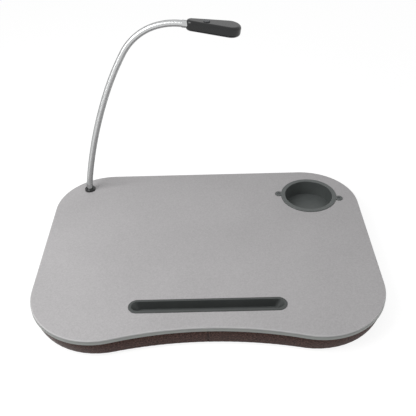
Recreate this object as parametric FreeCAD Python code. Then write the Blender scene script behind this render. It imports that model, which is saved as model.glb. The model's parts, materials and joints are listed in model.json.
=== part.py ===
import FreeCAD
import Part

import math
import os

from FreeCAD import Placement, Rotation, Vector

# Lap tray: a kidney-shaped writing board on a thin foam cushion, with a pen tray, a cup holder and
# a bendable battery lamp. Millimetres, +X to the user's right, +Y away from the user, +Z up.
# The origin is on the surface that the cushion rests on, under the middle of the board.

# Shared fits
cut_overrun = 2.0
slip_gap = 0.4
running_gap = 0.05
soft_gap = 0.2
pilot_gap = 0.05

# Board
board_width = 508.0
board_depth = 386.0
board_thickness = 7.5
back_corner_radius = 91.0
front_corner_radius = 98.0
belly_notch_depth = 19.8
foil_thickness = 0.5
board_edge_round = 2.0

# Cushion
cushion_height = 25.5
band_foot_height = 4.2
band_top_inset = 1.6
band_middle_inset = 2.0
band_middle_share = 0.5
band_foot_inset = 4.0
foot_corner_ease = 6.2
foot_notch_ease = 3.6
crown_rim_inset = 13.0
crown_rim_height = 1.2
crown_flat_inset = 42.0
fabric_thickness = 1.0

# Pen tray
tray_setback = 41.2
tray_well_length = 214.0
tray_well_width = 17.0
tray_wall = 1.5
tray_flange_overlap = 2.2
tray_flange_height = 1.2
tray_depth = 12.0
tray_end_slope = 9.0
tray_side_slope = 3.0
tray_flange_round = 0.8

# Cup holder
cup_side_inset = 80.3
cup_back_inset = 72.4
cup_bore_radius = 39.5
cup_wall = 2.0
cup_depth = 25.0
cup_floor = 2.0
cup_flange_radius = 46.6
cup_flange_height = 1.6
cup_flange_round = 0.8
ear_reach = 50.6
ear_radius = 6.4
ear_forward_offset = 2.2
ear_turn_deg = -9.6

# Screws
screw_head_radius = 2.6
screw_head_height = 1.3
screw_shank_radius = 1.5
screw_shank_length = 7.0
screw_slot_width = 0.7
screw_slot_depth = 0.6
screw_seat_depth = 0.8

# Lamp base
lamp_side_inset = 50.2
lamp_back_inset = 39.1
collar_radius = 9.0
collar_height = 3.2
collar_round = 1.0
bush_radius = 6.5
bush_flange_radius = 7.6
bush_flange_height = 1.2
bush_tail = 6.0
washer_radius = 10.5
washer_height = 1.0
nut_across_flats = 17.0
nut_height = 4.0
ferrule_radius = 5.1
ferrule_rise = 5.0
ferrule_bend_length = 9.0
ferrule_bend_deg = 10.0
ferrule_tail = 1.7
retainer_radius = 7.2
retainer_height = 0.9
retainer_groove_depth = 0.6
retainer_mouth_deg = 70.0

# Lamp neck: a bendable ribbed metal tube of equal lengths, each turned by its own angle
neck_segment_length = 36.0
neck_turns_deg = [3.0, 2.0, 2.5, 2.5, 2.5, 4.0, 4.0, 22.0, 24.0, 22.0]
neck_crest_radius = 5.0
neck_root_radius = 4.6
neck_rib_pitch = 2.0
neck_bore_radius = 1.9
neck_ball_radius = 3.3
neck_ball_gap = 0.3
neck_joint_gap = 1.1
neck_rib_shares = [(0.1, False), (0.25, True), (0.75, True), (0.9, False)]
wire_radius = 1.1
wire_end_gap = 0.3

# Lamp head
head_ferrule_radius = 5.6
head_ferrule_length = 10.0
head_ferrule_entry = 4.0
head_length = 82.0
head_front_radius = 17.0
head_rear_radius = 9.0
head_half_height = 8.0
head_wall = 1.6
head_edge_round = 4.5
lens_window_length = 40.0
lens_window_width = 14.0
lens_lip = 1.5
lens_lip_height = 1.0
lens_centre_setback = 31.0
led_board_height = 1.6
led_board_top = -0.4
led_board_margin = 1.2
led_pitch = 15.0
led_radius = 2.0
led_foot_radius = 2.6
led_foot_height = 0.8
head_post_radius = 3.0
head_post_setbacks = [66.0, 5.6]
head_screw_radius = 1.1
head_screw_head_radius = 2.0
head_screw_head_height = 1.2
head_screw_bite = 4.0

# Lamp switch
button_radius = 5.0
button_proud = 1.4
button_flange_radius = 6.2
button_flange_height = 0.8
button_stem_radius = 1.6
button_travel = 1.2
button_setback = 52.0
button_round = 0.6
switch_body_width = 6.2
switch_body_height = 3.4

# Battery box
battery_gap_from_lamp = 28.0
battery_recess = 6.0
battery_wall = 1.8
battery_roof = 2.0
battery_pocket_gap = 3.0
cell_radius = 5.25
cell_length = 44.5
cell_nub_radius = 1.9
cell_nub_height = 0.8
cell_pitch = 11.0
cell_side_gap = 0.5
contact_room = 3.2
contact_sheet = 0.5
contact_width = 8.0
contact_nub_radius = 2.4
cradle_rib = 1.6
cradle_rib_spacing = 24.0
box_ear_radius = 5.0
box_ear_height = 2.6
box_ear_offset = 8.0
door_height = 2.0
door_pin_radius = 0.8
door_pin_length = 1.2
door_tab_width = 14.0
door_tab_depth = 3.0
door_tab_height = 1.6

# Battery lead, from the foot of the lamp to the battery box
lead_radius = 1.0
lead_bend_radius = 5.0
lead_channel_gap = 2.0
lamp_pocket_gap = 3.0

# Heights and places that follow from the sizes above
board_top = cushion_height + board_thickness
half_width = board_width / 2
half_depth = board_depth / 2
lamp_x = lamp_side_inset - half_width
lamp_y = half_depth - lamp_back_inset
cup_x = half_width - cup_side_inset
cup_y = half_depth - cup_back_inset
tray_y = belly_notch_depth - half_depth + tray_setback
tray_top = board_top + tray_flange_height
cup_top = board_top + cup_flange_height
bush_foot = cushion_height - bush_tail
retainer_top = bush_foot - soft_gap
ferrule_foot = retainer_top - retainer_height - ferrule_tail
ferrule_bend_start = board_top + ferrule_rise
lead_run_height = ferrule_foot - soft_gap - lead_bend_radius
ahead = Vector(1, 0, 0)
sideways = Vector(0, 1, 0)
up = Vector(0, 0, 1)


def cylinder(radius, low, high, x=0.0, y=0.0):
    """Upright cylinder between two heights."""
    return Part.makeCylinder(radius, high - low, Vector(x, y, low))


def block(low, high):
    """Box between two corners."""
    size = [b - a for a, b in zip(low, high)]
    return Part.makeBox(*size, Vector(*low))


def arc(centre, radius, start, end):
    """Arc in a level plane between two angles in radians."""
    places = [start, (start + end) / 2, end]
    points = [centre + Vector(math.cos(a), math.sin(a), 0) * radius for a in places]
    return Part.Arc(*points).toShape()


def joined(ends_and_arcs):
    """Closed wire of arcs, with straight lines between their ends."""
    edges = []
    for here, after in zip(ends_and_arcs, ends_and_arcs[1:] + ends_and_arcs[:1]):
        edges.append(here)
        a = here.valueAt(here.LastParameter)
        b = after.valueAt(after.FirstParameter)
        if a.distanceToPoint(b) > Part.Precision.confusion() * board_width:
            edges.append(Part.LineSegment(a, b).toShape())
    return Part.Wire(edges)


def plan_outline(inset, height, eased_share=0):
    """The board's kidney outline, moved inwards: straight back and sides, round corners, a belly notch.

    Towards the cushion's foot, where the eased share is 1, the front corners are rounder and the notch is
    shallower.
    """
    corner = front_corner_radius + eased_share * foot_corner_ease
    notch_depth = belly_notch_depth - eased_share * foot_notch_ease
    back_x = half_width - back_corner_radius
    back_y = half_depth - back_corner_radius
    front_x = half_width - corner
    front_y = corner - half_depth
    notch_radius = (front_x**2 + notch_depth**2) / (2 * notch_depth) - corner
    notch_y = notch_depth - half_depth - notch_radius
    lean = math.atan2(front_y - notch_y, front_x)
    back_r = back_corner_radius - inset
    front_r = corner - inset
    quarter = math.pi / 2
    return joined(
        [
            arc(Vector(back_x, back_y, height), back_r, quarter, 0),
            arc(Vector(front_x, front_y, height), front_r, 0, lean - math.pi),
            arc(Vector(0, notch_y, height), notch_radius + inset, lean, math.pi - lean),
            arc(Vector(-front_x, front_y, height), front_r, -lean, -math.pi),
            arc(Vector(-back_x, back_y, height), back_r, math.pi, quarter),
        ]
    )


def stadium(length, width, height, x=0.0, y=0.0):
    """Long slot outline with round ends, along X."""
    radius = width / 2
    reach = length / 2 - radius
    quarter = math.pi / 2
    right = Vector(x + reach, y, height)
    left = Vector(x - reach, y, height)
    return joined(
        [
            arc(right, radius, quarter, 0),
            arc(right, radius, 0, -quarter),
            arc(left, radius, -quarter, -2 * quarter),
            arc(left, radius, -2 * quarter, -3 * quarter),
        ]
    )


def slab(wire, height):
    """Solid that rises from a flat wire."""
    return Part.Face(wire).extrude(Vector(0, 0, height))


def rounded_top(solid, radius, height):
    """The solid with every edge at one height rounded."""
    level = Part.Precision.confusion() * board_width
    edges = [e for e in solid.Edges if all(abs(v.Z - height) < level for v in e.Vertexes)]
    return solid.makeFillet(radius, edges)


def level_edges(solid, height, radius):
    """Round edges of one radius at one height."""
    level = Part.Precision.confusion() * board_width
    found = []
    for edge in solid.Edges:
        flat = all(abs(v.Z - height) < level for v in edge.Vertexes)
        if flat and hasattr(edge.Curve, "Radius") and abs(edge.Curve.Radius - radius) < level:
            found.append(edge)
    return found


def screw(head_radius, head_height, shank_radius, shank_length):
    """Pan-head screw with a cross recess, head up, with the underside of its head at the origin."""
    head = rounded_top(cylinder(head_radius, 0, head_height), head_height / 2, head_height)
    body = head.fuse(cylinder(shank_radius, -shank_length, 0)).removeSplitter()
    slot_low = head_height - screw_slot_depth
    arm = head_radius / 2 + screw_slot_width
    for long, wide in ((arm, screw_slot_width / 2), (screw_slot_width / 2, arm)):
        body = body.cut(block((-long, -wide, slot_low), (long, wide, head_height + cut_overrun)))
    return body


# Board


def board_body(inset, top, edge_round):
    """Board slab inside the outline, with its upper rim rounded over."""
    solid = slab(plan_outline(inset, cushion_height), top - cushion_height)
    return rounded_top(solid, edge_round, top)


def board_openings():
    """The cup hole, the pen slot and the lamp hole, right through the board."""
    low = cushion_height - cut_overrun
    tall = board_thickness + 2 * cut_overrun
    cup = cylinder(cup_bore_radius + cup_wall + slip_gap, low, low + tall, cup_x, cup_y)
    slot_grow = 2 * (tray_wall + slip_gap)
    slot = slab(stadium(tray_well_length + slot_grow, tray_well_width + slot_grow, low, 0, tray_y), tall)
    lamp = cylinder(bush_radius + soft_gap, low, low + tall, lamp_x, lamp_y)
    return [cup, slot, lamp]


def make_board():
    core_top = board_top - foil_thickness
    core = board_body(foil_thickness, core_top, board_edge_round - foil_thickness)
    foil = board_body(0, board_top, board_edge_round).cut(core)
    pilots = []
    pilot_radius = screw_shank_radius + pilot_gap
    for place in ear_places():
        pilots.append(cylinder(pilot_radius, screw_foot(cup_screw_seat()), board_top, place.x, place.y))
    for place in box_ear_places():
        low = cushion_height - cut_overrun
        high = cushion_height - box_ear_height + screw_shank_length + pilot_gap
        pilots.append(cylinder(pilot_radius, low, high, place.x, place.y))
    openings = board_openings()
    cup_pilots = pilots[: len(ear_places())]
    return {
        "board_core": core.cut(openings + pilots),
        "board_foil": foil.cut(openings + [p.translated(up * foil_thickness) for p in cup_pilots]),
    }


# Cushion


def band_loft(grow):
    """The cushion's side wall: slightly full at mid height and drawn in at its foot."""
    middle = (cushion_height + band_foot_height) / 2
    sections = [
        plan_outline(band_foot_inset + grow, band_foot_height, 1),
        plan_outline(band_middle_inset + grow, middle, band_middle_share),
        plan_outline(band_top_inset + grow, cushion_height),
    ]
    return Part.makeLoft(sections, True, False)


def crown_loft(grow, rise):
    """The cushion's crowned underside: flat in the middle, turning up to the foot of its wall."""
    sections = [
        plan_outline(crown_flat_inset, rise, 1),
        plan_outline(crown_rim_inset, crown_rim_height + rise, 1),
        plan_outline(band_foot_inset + grow, band_foot_height, 1),
    ]
    return Part.makeLoft(sections, True, True)


def cushion_pockets():
    """Room in the foam for what hangs under the board."""
    top = cushion_height + cut_overrun
    cup_low = board_top - cup_depth - cup_floor - slip_gap
    cup = cylinder(cup_bore_radius + cup_wall + slip_gap, cup_low, top, cup_x, cup_y)
    tray_low = tray_top - tray_depth - tray_wall - slip_gap
    tray_grow = 2 * (tray_wall + slip_gap)
    tray_wire = stadium(tray_well_length + tray_grow, tray_well_width + tray_grow, tray_low, 0, tray_y)
    tray = slab(tray_wire, top - tray_low)
    lead_low = lead_run_height - lead_radius - lead_channel_gap / 2
    lamp = cylinder(washer_radius + lamp_pocket_gap, lead_low, top, lamp_x, lamp_y)
    box_low = battery_box_corners()[0]
    half_channel = lead_radius + lead_channel_gap
    channel = block((lamp_x, lamp_y - half_channel, lead_low), (box_low.x, lamp_y + half_channel, top))
    ears = []
    for place in box_ear_places():
        ear_room = box_ear_radius + slip_gap
        ear_low = cushion_height - box_ear_height - screw_head_height - slip_gap
        ears.append(cylinder(ear_room, ear_low, top, place.x, place.y))
    return [cup, tray, lamp, channel, battery_pocket()] + ears


def battery_pocket():
    """Opening under the battery box, through the foam and the base panel."""
    box_low, box_high = battery_box_corners()
    spread = Vector(battery_pocket_gap, battery_pocket_gap, 0)
    low = box_low - spread
    high = box_high + spread
    return block((low.x, low.y, -cut_overrun), (high.x, high.y, cushion_height + cut_overrun))


def make_cushion():
    skin = fabric_thickness + soft_gap
    foam = band_loft(skin).fuse(crown_loft(skin, skin)).cut(cushion_pockets())
    panel = crown_loft(0, 0).cut(crown_loft(fabric_thickness, fabric_thickness)).cut(battery_pocket())
    band = band_loft(0).cut(band_loft(fabric_thickness))
    right_half = block((0, -board_depth, 0), (board_width, board_depth, board_top))
    return {
        "cushion_foam": foam,
        "cushion_base_panel": panel,
        "cushion_band_left": band.cut(right_half),
        "cushion_band_right": band.common(right_half),
    }


# Pen tray


def tray_well(grow, top, floor):
    """Sloping-sided trough between its mouth and its floor, grown by a wall thickness."""
    mouth = stadium(tray_well_length + 2 * grow, tray_well_width + 2 * grow, top, 0, tray_y)
    floor_length = tray_well_length - 2 * tray_end_slope + 2 * grow
    floor_width = tray_well_width - 2 * tray_side_slope + 2 * grow
    return Part.makeLoft([stadium(floor_length, floor_width, floor, 0, tray_y), mouth], True, True)


def make_pen_tray():
    floor = tray_top - tray_depth
    flange_grow = 2 * (tray_wall + slip_gap + tray_flange_overlap)
    flange_length = tray_well_length + flange_grow
    flange_width = tray_well_width + flange_grow
    flange = slab(stadium(flange_length, flange_width, board_top, 0, tray_y), tray_flange_height)
    flange = rounded_top(flange, tray_flange_round, tray_top)
    tray = flange.fuse(tray_well(tray_wall, tray_top - tray_flange_height / 2, floor - tray_wall))
    return {"pen_tray": tray.cut(tray_well(0, tray_top, floor)).removeSplitter()}


# Cup holder


def ear_places():
    """Centres of the two screw ears, on a line a little in front of the middle of the cup."""
    turn = math.radians(ear_turn_deg)
    along = Vector(math.cos(turn), math.sin(turn), 0) * ear_reach
    centre = Vector(cup_x, cup_y - ear_forward_offset, 0)
    return [centre - along, centre + along]


def cup_screw_seat():
    """Height of the counterbore that a cup holder screw's head sits on."""
    return cup_top - screw_seat_depth


def screw_foot(seat):
    """Height of the blind end of a pilot hole under a screw seated at that height."""
    return seat - screw_shank_length - pilot_gap


def make_cup_holder():
    ring = cylinder(cup_flange_radius, board_top, cup_top, cup_x, cup_y)
    for place in ear_places():
        ring = ring.fuse(cylinder(ear_radius, board_top, cup_top, place.x, place.y))
    ring = rounded_top(ring.removeSplitter(), cup_flange_round, cup_top)
    foot = board_top - cup_depth - cup_floor
    holder = ring.fuse(cylinder(cup_bore_radius + cup_wall, foot, cup_top - cup_flange_round, cup_x, cup_y))
    holder = holder.cut(cylinder(cup_bore_radius, foot + cup_floor, cup_top + cut_overrun, cup_x, cup_y))
    holder = holder.removeSplitter()
    holder = holder.makeFillet(cup_flange_round, level_edges(holder, cup_top, cup_bore_radius))
    screws = []
    for place in ear_places():
        seat = cup_screw_seat()
        holes = [
            cylinder(screw_head_radius + soft_gap, seat, cup_top + cut_overrun, place.x, place.y),
            cylinder(screw_shank_radius + soft_gap, board_top - cut_overrun, cup_top, place.x, place.y),
        ]
        holder = holder.cut(holes)
        part = screw(screw_head_radius, screw_head_height, screw_shank_radius, screw_shank_length)
        screws.append(part.translated(Vector(place.x, place.y, seat)))
    return {"cup_holder": holder, "cup_holder_screws": Part.makeCompound(screws)}


# Lamp base


def make_lamp_base():
    flange_top = board_top + bush_flange_height
    bush = cylinder(bush_radius, bush_foot, flange_top, lamp_x, lamp_y)
    bush = bush.fuse(cylinder(bush_flange_radius, board_top, flange_top, lamp_x, lamp_y))
    bush = bush.cut(cylinder(ferrule_radius + running_gap, bush_foot, flange_top, lamp_x, lamp_y))
    collar_top = board_top + collar_height
    collar = cylinder(collar_radius, board_top, collar_top, lamp_x, lamp_y)
    collar = rounded_top(collar, collar_round, collar_top)
    recess = cylinder(bush_flange_radius + soft_gap, board_top, flange_top + soft_gap, lamp_x, lamp_y)
    bore = cylinder(ferrule_radius + running_gap, board_top, collar_top, lamp_x, lamp_y)
    washer_foot = cushion_height - washer_height
    nut_foot = washer_foot - nut_height
    thread = cylinder(bush_radius + running_gap, bush_foot, cushion_height, lamp_x, lamp_y)
    washer = cylinder(washer_radius, washer_foot, cushion_height, lamp_x, lamp_y).cut(thread)
    corner = nut_across_flats / 2 / math.cos(math.pi / 6)
    points = []
    for k in range(7):
        angle = k * math.pi / 3
        spoke = Vector(math.cos(angle), math.sin(angle), 0) * corner
        points.append(Vector(lamp_x, lamp_y, nut_foot) + spoke)
    nut = slab(Part.makePolygon(points), nut_height).cut(thread)
    return {
        "base_bush": bush.removeSplitter(),
        "base_collar": collar.cut([recess, bore]),
        "base_washer": washer,
        "base_nut": nut,
    }


def make_neck_foot():
    """The turning foot of the neck: a bent metal ferrule, held under its bush by a snap ring."""
    groove_radius = ferrule_radius - retainer_groove_depth
    ring_foot = retainer_top - retainer_height
    ferrule = ferrule_rod(ferrule_radius).cut(ferrule_rod(neck_bore_radius))
    disc = cylinder(retainer_radius, ring_foot, retainer_top, lamp_x, lamp_y)
    groove = disc.cut(cylinder(groove_radius, ring_foot, retainer_top, lamp_x, lamp_y))
    ring = disc.cut(cylinder(groove_radius + running_gap, ring_foot, retainer_top, lamp_x, lamp_y))
    mouth_radius = retainer_radius + cut_overrun
    mouth_foot = Vector(lamp_x, lamp_y, ring_foot)
    mouth = Part.makeCylinder(mouth_radius, retainer_height, mouth_foot, up, retainer_mouth_deg)
    return {"neck_ferrule": ferrule.cut(groove), "neck_retainer": ring.cut(mouth)}


def ferrule_bend():
    """Start, tilt, turn and length of the ferrule's bend, which leans the neck over the board."""
    start = Vector(lamp_x, lamp_y, ferrule_bend_start)
    return start, 0.0, math.radians(ferrule_bend_deg), ferrule_bend_length


def ferrule_rod(radius):
    """Round rod through the ferrule, from its foot to the end of its bend."""
    start, tilt, turn, length = ferrule_bend()
    bent = neck_rod(start, tilt, turn, 0, length, radius, length)
    return cylinder(radius, ferrule_foot, ferrule_bend_start, lamp_x, lamp_y).fuse(bent)


# Lamp neck


def neck_joints():
    """Start of each neck length and the end of the last: (point, tilt from upright in radians)."""
    start, tilt, turn, length = ferrule_bend()
    point, tilt = along_neck(start, tilt, turn, length, length)
    places = [(point, tilt)]
    for turn_deg in neck_turns_deg:
        point, tilt = along_neck(point, tilt, math.radians(turn_deg), neck_segment_length)
        places.append((point, tilt))
    return places


def along_neck(start, tilt, turn, distance, length=neck_segment_length):
    """Point and tilt after a distance along a length that bends by turn over the whole of it."""
    if turn == 0:
        return start + neck_direction(tilt) * distance, tilt
    radius = length / turn
    new_tilt = tilt + distance / radius
    step_x = radius * (math.cos(tilt) - math.cos(new_tilt))
    step_z = radius * (math.sin(new_tilt) - math.sin(tilt))
    return start + Vector(step_x, 0, step_z), new_tilt


def neck_direction(tilt):
    """Unit vector along the neck, in the upright plane that it bends in."""
    return Vector(math.sin(tilt), 0, math.cos(tilt))


def neck_circle(start, tilt, turn, distance, radius, length=neck_segment_length):
    """Circle across the neck at a distance along a length."""
    point, here = along_neck(start, tilt, turn, distance, length)
    circle = Part.Circle(point, neck_direction(here), radius)
    circle.XAxis = sideways
    return Part.Wire(circle.toShape())


def neck_rod(start, tilt, turn, low, high, radius, length=neck_segment_length):
    """Smooth round rod inside a length, between two distances."""
    face = Part.Face(neck_circle(start, tilt, turn, low, radius, length))
    if turn == 0:
        return face.extrude(neck_direction(tilt) * (high - low))
    bend_radius = length / turn
    centre = start + Vector(math.cos(tilt), 0, -math.sin(tilt)) * bend_radius
    swept_deg = math.degrees((high - low) / bend_radius)
    axis = sideways if swept_deg > 0 else -sideways
    return face.revolve(centre, axis, abs(swept_deg))


def neck_tube(start, tilt, turn, high):
    """Ribbed tube from the start of a neck length up to a distance, before its bore is cut."""
    count = round(high / neck_rib_pitch)
    pitch = high / count
    rings = [neck_circle(start, tilt, turn, 0, neck_root_radius)]
    for k in range(count):
        for share, crest in neck_rib_shares:
            radius = neck_crest_radius if crest else neck_root_radius
            rings.append(neck_circle(start, tilt, turn, (k + share) * pitch, radius))
    rings.append(neck_circle(start, tilt, turn, high, neck_root_radius))
    return Part.makeLoft(rings, True, True)


def make_neck():
    """Neck lengths that meet in ball joints, and the stretch of wire inside each."""
    parts = {}
    joints = neck_joints()
    last = len(neck_turns_deg) - 1
    for k, turn_deg in enumerate(neck_turns_deg):
        start, tilt = joints[k]
        turn = math.radians(turn_deg)
        high = neck_segment_length if k == last else neck_segment_length - neck_joint_gap
        tube = neck_tube(start, tilt, turn, high)
        if k < last:
            tube = tube.fuse(Part.makeSphere(neck_ball_radius, joints[k + 1][0]))
        if k > 0:
            tube = tube.cut(Part.makeSphere(neck_ball_radius + neck_ball_gap, start))
        reach = neck_ball_radius + cut_overrun
        bore = neck_rod(start, tilt, turn, -reach, neck_segment_length + reach, neck_bore_radius)
        wire_high = neck_segment_length - wire_end_gap
        if k == last:
            wire_high = neck_segment_length
        wire = neck_rod(start, tilt, turn, wire_end_gap if k else 0, wire_high, wire_radius)
        if k == 0:
            wire = wire.fuse(ferrule_rod(wire_radius))
        if k == last:
            end, end_tilt = joints[-1]
            tail = Part.makeCylinder(wire_radius, head_ferrule_length, end, neck_direction(end_tilt))
            wire = wire.fuse(tail)
        parts[f"neck_segment_{k + 1:02d}"] = tube.cut(bore)
        parts[f"neck_wire_{k + 1:02d}"] = wire
    return parts


# Lamp head, modelled along +X from the end of the neck and then turned into place


def head_origin():
    """Distance from the end of the neck to the rear of the head's housing."""
    return head_ferrule_length - head_ferrule_entry


def head_outline(inset, height):
    """Plan of the head: a small round rear end widening to a larger round front."""
    rear = Vector(head_origin() + head_rear_radius, 0, height)
    front = Vector(head_origin() + head_length - head_front_radius, 0, height)
    lean = math.acos((head_rear_radius - head_front_radius) / (front.x - rear.x))
    rear_r = head_rear_radius - inset
    front_r = head_front_radius - inset
    return joined(
        [
            arc(front, front_r, lean, 0),
            arc(front, front_r, 0, -lean),
            arc(rear, rear_r, -lean, -math.pi),
            arc(rear, rear_r, -math.pi, lean - 2 * math.pi),
        ]
    )


def head_body(inset):
    """Rounded housing of the head, moved inwards."""
    half = head_half_height - inset
    solid = slab(head_outline(inset, -half), 2 * half)
    level = Part.Precision.confusion() * board_width
    rims = [e for e in solid.Edges if all(abs(abs(v.Z) - half) < level for v in e.Vertexes)]
    rims = [e for e in rims if abs(e.Vertexes[0].Z - e.Vertexes[-1].Z) < level]
    return solid.makeFillet(head_edge_round - inset, rims)


def head_post_places():
    """Distances from the neck of the two posts that hold the circuit board and the screws."""
    tip = head_origin() + head_length
    return [tip - setback for setback in head_post_setbacks]


def make_head():
    inner_half = head_half_height - head_wall
    board_foot = led_board_top - led_board_height
    tip = head_origin() + head_length
    lens_x = tip - lens_centre_setback
    button_x = tip - button_setback
    reach = board_width
    above = block((-reach, -reach, 0), (reach, reach, reach))
    shell = head_body(0).cut(head_body(head_wall))
    entry = Part.makeCylinder(head_ferrule_radius + running_gap, head_ferrule_length, Vector(), ahead)
    upper = shell.common(above).cut(entry)
    lower = shell.cut(above).cut(entry)

    board = slab(head_outline(head_wall + led_board_margin, board_foot), led_board_height)
    board_rear = head_ferrule_length + soft_gap
    board = board.cut(block((-reach, -reach, -reach), (board_rear, reach, reach)))
    screws = []
    for x in head_post_places():
        upper = upper.fuse(cylinder(head_post_radius, led_board_top, inner_half + head_wall / 2, x))
        lower = lower.fuse(cylinder(head_post_radius, -inner_half - head_wall / 2, board_foot, x))
        bite = led_board_top + head_screw_bite
        seat = head_screw_head_height - head_half_height
        upper = upper.cut(cylinder(head_screw_radius + pilot_gap, led_board_top, bite + pilot_gap, x))
        shank_hole = cylinder(head_screw_radius + soft_gap, -head_half_height, led_board_top, x)
        head_hole = cylinder(head_screw_head_radius + soft_gap, -head_half_height - cut_overrun, seat, x)
        lower = lower.cut([shank_hole, head_hole])
        board = board.cut(shank_hole)
        part = screw(head_screw_head_radius, head_screw_head_height, head_screw_radius, bite - seat)
        part.rotate(Vector(), ahead, 180)
        screws.append(part.translated(Vector(x, 0, seat)))

    window_low = -head_half_height - cut_overrun
    window_wire = stadium(lens_window_length, lens_window_width, window_low, lens_x)
    lower = lower.cut(slab(window_wire, head_wall + 2 * cut_overrun))
    pane_length = lens_window_length - slip_gap
    pane_width = lens_window_width - slip_gap
    pane_wire = stadium(pane_length, pane_width, -head_half_height, lens_x)
    lip_grow = 2 * lens_lip
    lip_wire = stadium(lens_window_length + lip_grow, lens_window_width + lip_grow, -inner_half, lens_x)
    lens = slab(pane_wire, head_wall + lens_lip_height)
    lens = lens.fuse(slab(lip_wire, lens_lip_height)).removeSplitter()

    leds = []
    for k in (-1, 0, 1):
        x = lens_x + k * led_pitch
        dome_centre = board_foot - led_foot_height
        foot = cylinder(led_foot_radius, dome_centre, board_foot, x)
        dome = Part.makeSphere(led_radius, Vector(x, 0, dome_centre), up, -90, 0)
        leds.append(foot.fuse(dome).removeSplitter())

    half_switch = switch_body_width / 2
    switch_top = led_board_top + switch_body_height
    switch_low = (button_x - half_switch, -half_switch, led_board_top)
    switch = block(switch_low, (button_x + half_switch, half_switch, switch_top))
    upper = upper.cut(cylinder(button_radius + soft_gap, 0, head_half_height + cut_overrun, button_x))
    flange_top = inner_half - soft_gap
    flange_foot = flange_top - button_flange_height
    button_top = head_half_height + button_proud
    button = cylinder(button_radius, flange_foot, button_top, button_x)
    button = rounded_top(button, button_round, button_top)
    button = button.fuse(cylinder(button_flange_radius, flange_foot, flange_top, button_x))
    stem_foot = switch_top + button_travel + soft_gap
    button = button.fuse(cylinder(button_stem_radius, stem_foot, flange_foot, button_x)).removeSplitter()

    ferrule = Part.makeCylinder(head_ferrule_radius, head_ferrule_length, Vector(), ahead)
    ferrule = ferrule.cut(Part.makeCylinder(neck_bore_radius, head_ferrule_length, Vector(), ahead))
    parts = {
        "head_ferrule": ferrule,
        "head_upper_shell": upper.removeSplitter(),
        "head_lower_shell": lower.removeSplitter(),
        "head_lens": lens,
        "led_board": board,
        "leds": Part.makeCompound(leds),
        "switch_body": switch,
        "switch_button": button,
        "head_screws": Part.makeCompound(screws),
    }
    end, tilt = neck_joints()[-1]
    place = Placement(end, Rotation(sideways, math.degrees(tilt) - 90))
    return {name: shape.transformed(place.toMatrix(), True) for name, shape in parts.items()}


# Battery box


def battery_inside():
    """Inside length and width of the battery box."""
    length = cell_length + 2 * contact_room
    width = 2 * cell_pitch + 2 * cell_radius + 2 * cell_side_gap
    return length, width


def battery_box_corners():
    """Outer corners of the battery box, one end facing the lamp so that the lead enters between two cells."""
    length, width = battery_inside()
    low_x = lamp_x + battery_gap_from_lamp
    middle_y = lamp_y - cell_pitch / 2
    half = width / 2 + battery_wall
    low = Vector(low_x, middle_y - half, battery_recess)
    high = Vector(low_x + length + 2 * battery_wall, middle_y + half, cushion_height)
    return low, high


def box_ear_places():
    """Centres of the battery box's two screw ears, one at each end."""
    low, high = battery_box_corners()
    middle_y = (low.y + high.y) / 2
    return [
        Vector(low.x - box_ear_radius + slip_gap, middle_y - box_ear_offset, 0),
        Vector(high.x + box_ear_radius - slip_gap, middle_y - box_ear_offset, 0),
    ]


def door_hinge():
    """Y place and height of the battery door's hinge line."""
    high = battery_box_corners()[1]
    return high.y - battery_wall - slip_gap - door_height / 2, battery_recess + door_height / 2


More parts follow.
